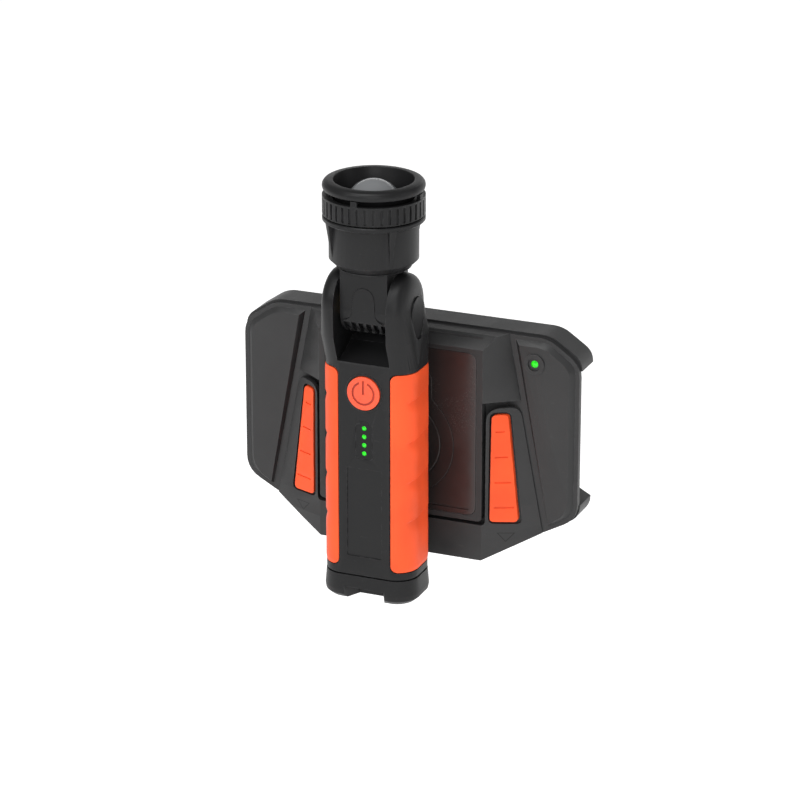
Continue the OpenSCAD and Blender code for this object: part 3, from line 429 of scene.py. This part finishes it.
# Near-black painted shade for the arrow grooves, laid as a thin strip just proud of the cheek.
arrow_painted_shade = moulding("arrow_painted_shade", (0.006, 0.006, 0.006), 0.7, 2400.0, 0.1, wear=0.0)
arrow_corners = ((51.3 * MM, -52.2 * MM), (60.1 * MM, -52.2 * MM), (55.7 * MM, -57.2 * MM))
arrow_x, arrow_z = 55.7 * MM, -53.87 * MM
inner_share = 0.79
strip_proud, strip_thick = 0.03 * MM, 0.12 * MM
bm = bmesh.new()
for side in (-1, 1):
    corners = [bm.verts.new((side * x, 0, z)) for x, z in arrow_corners]
    outline = [bm.edges.new((corners[i], corners[i - 1])) for i in range(3)]
    inner = bmesh.ops.extrude_edge_only(bm, edges=outline)["geom"]
    bmesh.ops.scale(bm, vec=(inner_share, 1, inner_share),
                    verts=[g for g in inner if isinstance(g, bmesh.types.BMVert)],
                    space=Matrix.Translation((-side * arrow_x, 0, -arrow_z)))
bmesh.ops.subdivide_edges(bm, edges=bm.edges, cuts=3, use_grid_fill=True)
cheek = BVHTree.FromBMesh(from_cad("release_slider"))
for v in bm.verts:
    at = cheek.ray_cast((v.co.x, -0.1, v.co.z), (0, 1, 0))[0]
    v.co.y = at.y - strip_proud
bmesh.ops.recalc_face_normals(bm, faces=bm.faces)
for face in bm.faces:
    if face.normal.y > 0:
        face.normal_flip()
bmesh.ops.solidify(bm, geom=bm.faces, thickness=strip_thick)
piece("arrow_marks", bm, "slider", "dock_plastic", arrow_painted_shade)


# ---- Return springs -------------------------------------------------------------------------
# Two coil springs of 0.6 mm wire that stand in the housing and push the fork's tabs up, with
# closed end turns.
def coil_spring(bm, x, y, radius, wire, bottom, top, turns):
    """A round-wire spring along Z whose end turns are closed; wire is the wire's radius."""
    closed_turn, steps_per_turn = 0.9, 24
    at = Matrix.Translation((x + radius, y, bottom + wire))
    start = bmesh.ops.create_circle(bm, segments=10, radius=wire, matrix=at @ facing_front)
    loop = list({e for v in start["verts"] for e in v.link_edges})
    bmesh.ops.contextual_create(bm, geom=loop)
    closed_climb = wire * 2.1
    end = (closed_turn, closed_climb)
    middle = (turns - 2 * closed_turn, top - bottom - 2 * wire - 2 * closed_climb)
    for share, climb in (end, middle, end):
        steps = round(steps_per_turn * share)
        out = bmesh.ops.spin(bm, geom=loop, cent=(x, y, 0), axis=(0, 0, 1), dvec=(0, 0, climb / steps),
                             angle=2 * math.pi * share, steps=steps, use_duplicate=False)
        loop = [g for g in out["geom_last"] if isinstance(g, bmesh.types.BMEdge)]
    bmesh.ops.contextual_create(bm, geom=loop)
    bmesh.ops.recalc_face_normals(bm, faces=bm.faces)


spring_x, slider_travel = 20 * MM, 5 * MM
low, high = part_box("slider_springs")
bm = bmesh.new()
for x in (-spring_x, spring_x):
    coil_spring(bm, x, (low.y + high.y) / 2, 1.7 * MM, 0.29 * MM, low.z, high.z, 7)
springs = piece("return_springs", bm, "dock", "steel", zinc_steel, "slider_springs", crease=80)
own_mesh(springs)


# ---- Finger pads ----------------------------------------------------------------------------
# Soft orange pads on the slider's two arms, grooved across for a gloved thumb.
orange_rubber = moulding("orange_rubber", (0.86, 0.088, 0.019), 0.5, 1900.0, 0.3, scuffs=0.15, wear=0.1,
                         specular=0.26)
for name in ("left_pad", "right_pad"):
    piece("soft_" + name, from_cad(name), "slider", "orange_rubber", orange_rubber, name,
          round_edges=0.35 * MM)


# ---- Handle shells --------------------------------------------------------------------------
# Two glass-filled nylon halves, split front and back, with the ears that carry the head.
# Two screws driven in from behind hold them together.
piece("front_half", from_cad("front_shell"), "handle", "black_plastic", black_plastic, "front_shell",
      round_edges=0.3 * MM)
piece("rear_half", from_cad("rear_shell"), "handle", "black_plastic", black_plastic, "rear_shell",
      round_edges=0.3 * MM)
piece("shell_fixings", from_cad("shell_screws"), "handle", "steel", zinc_steel, "shell_screws",
      round_edges=0.15 * MM)


# ---- Grips ----------------------------------------------------------------------------------
# Two soft orange overmouldings that wrap each long corner of the handle, with four finger
# scoops whose slanting upper lips are crisp. Thermoplastic rubber moulded onto the shells.
handle_half, handle_front, handle_back, corner_r = 24.3 * MM, -76.8 * MM, -44.2 * MM, 11.3 * MM
grip_low, grip_high, grip_edge, grip_thick = -61 * MM, 43 * MM, 14 * MM, 1.35 * MM
scoop_pitch, first_scoop, scoop_depth = 21.0 * MM, 22.0 * MM, 1.2 * MM
end_corner_r, edge_rise, edge_width = 3.5 * MM, 0.25 * MM, 2.5 * MM
side_flat = handle_back - handle_front - 2 * corner_r
front_turn = math.acos((grip_edge - handle_half + corner_r) / corner_r)
grip_wrap = 2 * corner_r * front_turn + side_flat


def wrap(u):
    """The point and outward normal at distance u round the handle, from the grip's front edge."""
    arc_length = front_turn * corner_r
    centre_x = handle_half - corner_r
    if u < arc_length:
        turn = u / corner_r - front_turn
        centre_y = handle_front + corner_r
    elif u < arc_length + side_flat:
        return Vector((handle_half, handle_front + corner_r + u - arc_length)), Vector((1, 0))
    else:
        turn = (u - arc_length - side_flat) / corner_r
        centre_y = handle_back - corner_r
    out = Vector((math.cos(turn), math.sin(turn)))
    return Vector((centre_x, centre_y)) + corner_r * out, out


def smooth(low, high, value):
    """0 below low and 1 above high, with a smooth rise between."""
    t = min(max((value - low) / (high - low), 0.0), 1.0)
    return t * t * (3 - 2 * t)


def scoop(u, z):
    """How far the grip sinks at (u, z): a step at each scoop's slanting upper lip, fading out below."""
    start, full_width, fade, end = 7.0 * MM, 25.5 * MM, 29 * MM, 33 * MM
    lip_width = 0.5 * MM
    if u < start:
        return 0.0
    along = min((u - start) / (full_width - start), 1.0)
    bottom = 2.5 * MM * (1 - along) ** 2 - 2.4 * MM * along
    top = 6.5 * MM + 2.7 * MM * along
    sunk = 0.0
    for i in range(4):
        above = z - (first_scoop - i * scoop_pitch)
        if bottom < above < top:
            lip = min((top - above) / lip_width, 1.0)
            sunk = scoop_depth * smooth(0, 0.3, along) * smooth(bottom, top, above) * lip
    return sunk * (1 - smooth(fade, end, u))


def grip(side):
    """A flat grid wrapped round one side of the handle, sunk at the scoops and thickened inwards."""
    bm = bmesh.new()
    bmesh.ops.create_grid(bm, x_segments=72, y_segments=260, size=0.5)
    for v in bm.verts:
        z = grip_low + (v.co.y + 0.5) * (grip_high - grip_low)
        cut = 0.0
        for end in (grip_high - z, z - grip_low):
            short = max(end_corner_r - end, 0.0)
            cut = max(cut, end_corner_r - math.sqrt(max(end_corner_r ** 2 - short ** 2, 0.0)))
        u = cut + (v.co.x + 0.5) * (grip_wrap - 2 * cut)
        at, out = wrap(u)
        rim = min(u - cut, grip_wrap - cut - u, grip_high - z, z - grip_low)
        rise = edge_rise * smooth(0, edge_width, rim) - scoop(u, z)
        at = at + out * rise
        v.co = (side * at.x, at.y, z)
    bmesh.ops.recalc_face_normals(bm, faces=bm.faces)
    if sum(f.calc_center_median().x * f.normal.x for f in bm.faces) < 0:
        bmesh.ops.reverse_faces(bm, faces=bm.faces)
    bmesh.ops.solidify(bm, geom=bm.faces, thickness=grip_thick)
    return bm


for side, name in ((-1, "left_grip"), (1, "right_grip")):
    piece("soft_" + name, grip(side), "handle", "orange_rubber", orange_rubber, name,
          round_edges=0.35 * MM, crease=50)


# ---- Power button ---------------------------------------------------------------------------
# A round orange cap with a sunk power mark, its groove painted a darker orange as painted shade,
# in a black rubber ring pressed into the front half, over a tactile switch on the main board.
orange_plastic = moulding("orange_plastic", (0.84, 0.08, 0.024), 0.4, 2200.0, 0.15, scuffs=0.2, wear=0.15)
soft_black = moulding("soft_black_rubber", (0.011, 0.011, 0.011), 0.62, 1900.0, 0.4, scuffs=0.2, wear=0.2,
                      specular=0.3)
# Darker orange painted into the power mark's groove: painted shade, not the cap's own colour.
groove_painted_shade = moulding("groove_painted_shade", (0.4, 0.03, 0.01), 0.6, 2200.0, 0.3, scuffs=0.0, wear=0.0)
button_z, mark_reach = 32 * MM, 7 * MM
bm = from_cad("power_button")
front = min(v.co.y for v in bm.verts)
mark_top, mark_floor = front + 0.1 * MM, front + 0.5 * MM
# The faces inside the mark's groove take the painted shade material.
for face in bm.faces:
    middle = face.calc_center_median()
    across = math.hypot(middle.x, middle.z - button_z)
    face.material_index = int(mark_top < middle.y < mark_floor and across < mark_reach)
cap = piece("button_cap", bm, "button", "orange_plastic", orange_plastic, "power_button",
            round_edges=0.08 * MM)
cap.data.materials.append(groove_painted_shade)
piece("button_seal", from_cad("button_ring"), "handle", "black_rubber", soft_black, "button_ring",
      round_edges=0.2 * MM)
piece("push_switch", from_cad("tact_switch"), "handle", "black_plastic", black_plastic, "tact_switch",
      round_edges=0.25 * MM)


# ---- Charge gauge ---------------------------------------------------------------------------
# A battery-shaped cover flush with the handle, its outline a fine gap, with four green light
# pipes that reach back to the board.
gauge_black = moulding("gauge_black", (0.008, 0.008, 0.0085), 0.4, 2800.0, 0.2, specular=0.2)
piece("gauge_cover", from_cad("gauge_window"), "handle", "smoked_window", gauge_black, "gauge_window",
      round_edges=0.2 * MM)
low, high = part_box("gauge_leds")
bm = bmesh.new()
pipe_r, light_pitch = (high.x - low.x) / 2, 4.4 * MM
for i in range(4):
    light_pipe(bm, 0, high.z - pipe_r - i * light_pitch, low.y, high.y, pipe_r, 0.3 * MM)
bmesh.ops.recalc_face_normals(bm, faces=bm.faces)
piece("gauge_lights", bm, "handle", "green_light", lit_green, "gauge_leds", crease=60)


# ---- Cells and main board -------------------------------------------------------------------
# Two wrapped 18650 cells side by side in a moulded cradle, joined by a nickel strip above and
# sprung contacts below; the main board stands in front of them.
cell_wrap = moulding("blue_cell_wrap", (0.02, 0.11, 0.3), 0.28, 700.0, 0.1, scuffs=0.5, wear=0.3)
piece("main_board", from_cad("main_board"), "handle", "circuit_board", board("main_board", 380.0),
      "main_board", round_edges=0.2 * MM)
piece("cells", from_cad("battery_cells"), "handle", "cell_wrap", cell_wrap, "battery_cells",
      round_edges=0.8 * MM, steps=3)
piece("cradle", from_cad("cell_cradle"), "handle", "black_plastic", black_plastic, "cell_cradle",
      round_edges=0.3 * MM)
piece("contact_strips", from_cad("cell_contacts"), "handle", "steel", nickel, "cell_contacts",
      round_edges=0.1 * MM)
cell_x = 9.6 * MM
low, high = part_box("cell_springs")
bm = bmesh.new()
for x in (-cell_x, cell_x):
    coil_spring(bm, x, (low.y + high.y) / 2, 3.6 * MM, 0.39 * MM, low.z, high.z, 4)
piece("contact_springs", bm, "handle", "steel", nickel, "cell_springs", crease=80)


# ---- Tail cap -------------------------------------------------------------------------------
# The moulded end of the handle, notched in front for a lanyard or hook, on a thin rubber
# gasket, with two socket screws up into the rear half.
piece("tail_end", from_cad("tail_cap"), "handle", "black_plastic", black_plastic, "tail_cap",
      round_edges=0.35 * MM)
piece("tail_seal", from_cad("tail_gasket"), "handle", "black_rubber", soft_black, "tail_gasket",
      round_edges=0.15 * MM)
piece("tail_fixings", from_cad("tail_screws"), "handle", "steel", zinc_steel, "tail_screws",
      round_edges=0.15 * MM)


# ---- Docking bracket ------------------------------------------------------------------------
# Screwed to the handle's back: a foot with the receiving coil, a turned stud that the latch
# fork's slot stands round, and a second magnet near the top.
piece("docking_foot", from_cad("docking_bracket"), "handle", "black_plastic", black_plastic,
      "docking_bracket", round_edges=0.3 * MM)
piece("foot_screws", from_cad("bracket_screws"), "handle", "steel", zinc_steel, "bracket_screws",
      round_edges=0.15 * MM)
piece("latch_stud", from_cad("docking_stud"), "handle", "steel", zinc_steel, "docking_stud",
      round_edges=0.25 * MM)
piece("receiving_coil", from_cad("receive_coil"), "handle", "copper_coil",
      wound_copper("receiving_coil_wire"), "receive_coil", round_edges=0.2 * MM)
piece("foot_magnet", from_cad("bracket_magnet"), "handle", "magnet_steel", nickel, "bracket_magnet",
      round_edges=0.3 * MM)


# ---- Pivot ----------------------------------------------------------------------------------
# A hollow steel axle through the ears and the neck with a brass friction washer on each side,
# under two teardrop covers. The red supply lead comes out of its right end and goes down the
# right ear.
lead_sheath = moulding("red_lead_sheath", (0.42, 0.02, 0.015), 0.4, 900.0, 0.2, scuffs=0.1, wear=0.0)
piece("tilt_axle", from_cad("pivot_axle"), "handle", "steel", zinc_steel, "pivot_axle", round_edges=0.1 * MM)
piece("friction_washers", from_cad("pivot_washers"), "handle", "brass", brass, "pivot_washers",
      round_edges=0.1 * MM)
for name in ("left_pivot_cover", "right_pivot_cover"):
    piece("snap_" + name, from_cad(name), "handle", "black_plastic", black_plastic, name,
          round_edges=0.3 * MM)
piece("supply_lead", from_cad("handle_leads"), "handle", "lead_sheath", lead_sheath, "handle_leads",
      crease=60)


# ---- Neck and cup ---------------------------------------------------------------------------
# The neck swings between the ears; a raised tongue stiffens its front above a comb of short
# ribs. The head cup is glued on its collar, with four gusset ribs and an O-ring groove.
head_y = -63.7 * MM
tongue_front, tongue_back, tongue_z, tongue_r = -77.25 * MM, -76.6 * MM, 80.4 * MM, 5.6 * MM
tongue_flare = ((4.0, 5.9), (4.2, 6.3), (1.8, 7.2), (1.3, 8.9), (0.9, 10.9))
bm = bmesh.new()
bmesh.ops.create_circle(bm, cap_ends=True, segments=40, radius=tongue_r,
                        matrix=Matrix.Translation((0, tongue_back, tongue_z)) @ facing_front)
bmesh.ops.bisect_plane(bm, geom=bm.verts[:] + bm.edges[:] + bm.faces[:], plane_co=(0, 0, tongue_z),
                       plane_no=(0, 0, -1), clear_outer=True)
loop = [e for e in bm.edges if all(abs(v.co.z - tongue_z) < 1e-6 for v in e.verts)]
for drop, half in tongue_flare:
    out = bmesh.ops.extrude_edge_only(bm, edges=loop)["geom"]
    loop = [g for g in out if isinstance(g, bmesh.types.BMEdge)]
    for v in {v for e in loop for v in e.verts}:
        v.co.x = math.copysign(half * MM, v.co.x)
        v.co.z -= drop * MM
bmesh.ops.recalc_face_normals(bm, faces=bm.faces)
for face in bm.faces:
    if face.normal.y < 0:
        face.normal_flip()
bmesh.ops.solidify(bm, geom=bm.faces, thickness=tongue_back - tongue_front)
bmesh.ops.recalc_face_normals(bm, faces=bm.faces)
piece("neck_tongue", bm, "neck", "black_plastic", black_plastic, round_edges=0.25 * MM)
piece("swing_neck", from_cad("neck_block"), "neck", "black_plastic", black_plastic, "neck_block",
      round_edges=0.3 * MM)
piece("cup", from_cad("head_cup"), "neck", "black_plastic", black_plastic, "head_cup", round_edges=0.3 * MM)
low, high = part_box("cup_seal")
cord_r, cord_inset = 0.8 * MM, 0.83 * MM
bm = bmesh.new()
at = Matrix.Translation((high.x - cord_inset, head_y, (high.z + low.z) / 2))
section = bmesh.ops.create_circle(bm, segments=14, radius=cord_r, matrix=at @ facing_front)
bmesh.ops.spin(bm, geom=list({e for v in section["verts"] for e in v.link_edges}), cent=(0, head_y, 0),
               axis=(0, 0, 1), angle=2 * math.pi, steps=96, use_merge=True)
bmesh.ops.recalc_face_normals(bm, faces=bm.faces)
piece("cup_o_ring", bm, "neck", "black_rubber", soft_black, "cup_seal", crease=80)


# ---- Light engine ---------------------------------------------------------------------------
# A turned aluminium block with fins in the cup's base, a round board on top and the emitter
# with its yellow phosphor under a silicone dome, fed by a lead up through the block.
aluminium = metal("turned_aluminium", (0.78, 0.78, 0.8), 0.32, 1200.0, 0.25)
phosphor, tree, shader = material("phosphor")
specks = node(tree, "ShaderNodeTexVoronoi", {"Vector": node(tree, "ShaderNodeTexCoord").outputs["Object"],
              "Scale": 6000.0})
powder = node(tree, "ShaderNodeMix", {0: ramp(tree, specks.outputs["Distance"], 0.2, 0.6),
              6: (0.86, 0.7, 0.12, 1), 7: (0.75, 0.52, 0.05, 1)}, data_type="RGBA")
tree.links.new(powder.outputs[2], shader.inputs["Base Color"])
tree.links.new(ramp(tree, specks.outputs["Distance"], 0.2, 0.6, 0.25, 0.4), shader.inputs["Roughness"])
piece("heat_spreader", from_cad("heatsink"), "neck", "aluminium", aluminium, "heatsink",
      round_edges=0.15 * MM)
piece("emitter_board", from_cad("led_board"), "neck", "circuit_board",
      board("white_board", 300.0, (0.62, 0.62, 0.6)), "led_board", round_edges=0.15 * MM)
piece("emitter_dome", from_cad("emitter"), "neck", "phosphor", phosphor, "emitter", crease=40)
piece("emitter_lead", from_cad("head_leads"), "neck", "lead_sheath", lead_sheath, "head_leads",
      round_edges=0.2 * MM)


# ---- Focus ring -----------------------------------------------------------------------------
# The ring that a gloved hand turns, with forty fine grooves, and the bezel that stands over it
# with a gap between them, where rain drains out.
piece("grooved_ring", from_cad("focus_ring"), "focus", "black_plastic", black_plastic, "focus_ring",
      round_edges=0.15 * MM)
piece("open_bezel", from_cad("bezel"), "focus", "black_plastic", black_plastic, "bezel",
      round_edges=0.4 * MM)


# ---- Lens group -----------------------------------------------------------------------------
# A smoky, faintly hazy acrylic dome in a black carrier that slides on two pins, held by a
# rubber ring. Its flange sits in the carrier.
carrier_black = moulding("carrier_black", (0.008, 0.008, 0.008), 0.6, 2800.0, 0.2, specular=0.2)
smoky_acrylic, tree, shader = material("smoky_acrylic")
film = node(tree, "ShaderNodeTexNoise", {"Vector": node(tree, "ShaderNodeTexCoord").outputs["Object"],
            "Scale": 120.0, "Detail": 4.0})
tree.links.new(ramp(tree, film.outputs["Fac"], 0.4, 0.75, 0.12, 0.2), shader.inputs["Roughness"])
shader.inputs["Base Color"].default_value = (0.3, 0.31, 0.32, 1)
shader.inputs["IOR"].default_value = 1.49
shader.inputs["Transmission Weight"].default_value = 0.45
lens_r, lens_top, flange_top = 14 * MM, 137.5 * MM, 123.8 * MM
flange_width, flange_thick = 2.6 * MM, 1.78 * MM
bm = bmesh.new()
bmesh.ops.create_uvsphere(bm, u_segments=96, v_segments=64, radius=lens_r,
                          matrix=Matrix.Translation((0, head_y, lens_top - lens_r)))
bmesh.ops.bisect_plane(bm, geom=bm.verts[:] + bm.edges[:] + bm.faces[:], plane_co=(0, 0, flange_top),
                       plane_no=(0, 0, -1), clear_outer=True)
loop = [e for e in bm.edges if e.is_boundary]
for grow, drop in ((flange_width, 0.0), (0.0, flange_thick)):
    out = bmesh.ops.extrude_edge_only(bm, edges=loop)["geom"]
    verts = [g for g in out if isinstance(g, bmesh.types.BMVert)]
    loop = [g for g in out if isinstance(g, bmesh.types.BMEdge)]
    reach = max((v.co - Vector((0, head_y, v.co.z))).length for v in verts)
    share = (reach + grow) / reach
    bmesh.ops.scale(bm, vec=(share, share, 1), verts=verts, space=Matrix.Translation((0, -head_y, 0)))
    bmesh.ops.translate(bm, vec=(0, 0, -drop), verts=verts)
bmesh.ops.contextual_create(bm, geom=loop)
bmesh.ops.recalc_face_normals(bm, faces=bm.faces)
piece("dome_lens", bm, "lens_group", "lens_glass", smoky_acrylic, "lens", crease=35)
piece("lens_slide", from_cad("lens_carrier"), "lens_group", "black_plastic", carrier_black, "lens_carrier",
      round_edges=0.2 * MM)
piece("slide_pins", from_cad("guide_pins"), "lens_group", "steel", nickel, "guide_pins",
      round_edges=0.15 * MM)
piece("lens_ring", from_cad("lens_retainer"), "lens_group", "black_rubber", soft_black, "lens_retainer",
      round_edges=0.3 * MM)


# ---- Stage ----------------------------------------------------------------------------------
# A pale seamless floor that curves up behind, well below and behind the dock, which hangs
# free, and large soft lights as in a product studio.
floor_z, floor_reach, sweep_height, sweep_r = -0.16, 30.0, 12.0, 6.0
sweep = bmesh.new()
bmesh.ops.create_grid(sweep, x_segments=1, y_segments=1, size=floor_reach,
                      matrix=Matrix.Translation((0, 0, floor_z)))
back_edge = [e for e in sweep.edges if all(v.co.y > floor_reach - 0.1 for v in e.verts)]
raised = bmesh.ops.extrude_edge_only(sweep, edges=back_edge)["geom"]
bmesh.ops.translate(sweep, vec=(0, 0, sweep_height),
                    verts=[g for g in raised if isinstance(g, bmesh.types.BMVert)])
corner = [e for e in sweep.edges if all(v.co.y > floor_reach - 0.1 and v.co.z < 0 for v in e.verts)]
bmesh.ops.bevel(sweep, geom=corner, offset=sweep_r, segments=12, profile=0.5, affect="EDGES", material=-1)
floor_mesh = bpy.data.meshes.new("floor")
sweep.to_mesh(floor_mesh)
sweep.free()
floor = bpy.data.objects.new("floor", floor_mesh)
bpy.context.scene.collection.objects.link(floor)
floor_mesh.shade_smooth()
paper, tree, shader = material("backdrop_paper")
fibre = node(tree, "ShaderNodeTexNoise", {"Vector": node(tree, "ShaderNodeTexCoord").outputs["Object"],
             "Scale": 60.0, "Detail": 4.0})
tint = node(tree, "ShaderNodeMix", {0: ramp(tree, fibre.outputs["Fac"], 0.35, 0.65), 6: (0.9, 0.9, 0.9, 1),
            7: (0.93, 0.93, 0.925, 1)}, data_type="RGBA")
tree.links.new(tint.outputs[2], shader.inputs["Base Color"])
shader.inputs["Roughness"].default_value = 0.9
shader.inputs["Emission Color"].default_value = (1, 1, 1, 1)
shader.inputs["Emission Strength"].default_value = 0.62
floor_mesh.materials.append(paper)

world = bpy.data.worlds.new("studio")
bpy.context.scene.world = world
world.use_nodes = True
world.node_tree.nodes["Background"].inputs["Color"].default_value = (1, 1, 1, 1)
world.node_tree.nodes["Background"].inputs["Strength"].default_value = 0.3
bpy.context.scene.view_settings.view_transform = "Standard"


lit_point = Vector((0, -0.04, 0.03))


def softbox(name, place, size, watts):
    """A rectangular light at place, turned to the middle of the object."""
    lamp = bpy.data.lights.new(name, "AREA")
    lamp.shape = "RECTANGLE"
    lamp.size, lamp.size_y = size
    lamp.energy = watts
    made = bpy.data.objects.new(name, lamp)
    bpy.context.scene.collection.objects.link(made)
    made.location = place
    made.rotation_euler = (lit_point - Vector(place)).to_track_quat("-Z", "Y").to_euler()


softbox("key_left", (-0.6, -1.3, 0.9), (0.6, 0.6), 5)
softbox("front_fill", (0.5, -1.5, 0.6), (0.8, 0.6), 6.5)
softbox("top", (-0.1, -0.6, 1.2), (0.8, 0.6), 9)
softbox("rim_right", (1.2, 0.1, 0.5), (0.5, 0.9), 1.5)

camera_data = bpy.data.cameras.new("camera")
camera_data.lens = 161.8
camera_data.sensor_width = 36.0
camera = bpy.data.objects.new("camera", camera_data)
bpy.context.scene.collection.objects.link(camera)
camera.location = (0.6504, -1.5881, 0.6436)
camera.rotation_euler = (math.radians(69.5), 0, math.radians(22.67))
bpy.context.scene.camera = camera
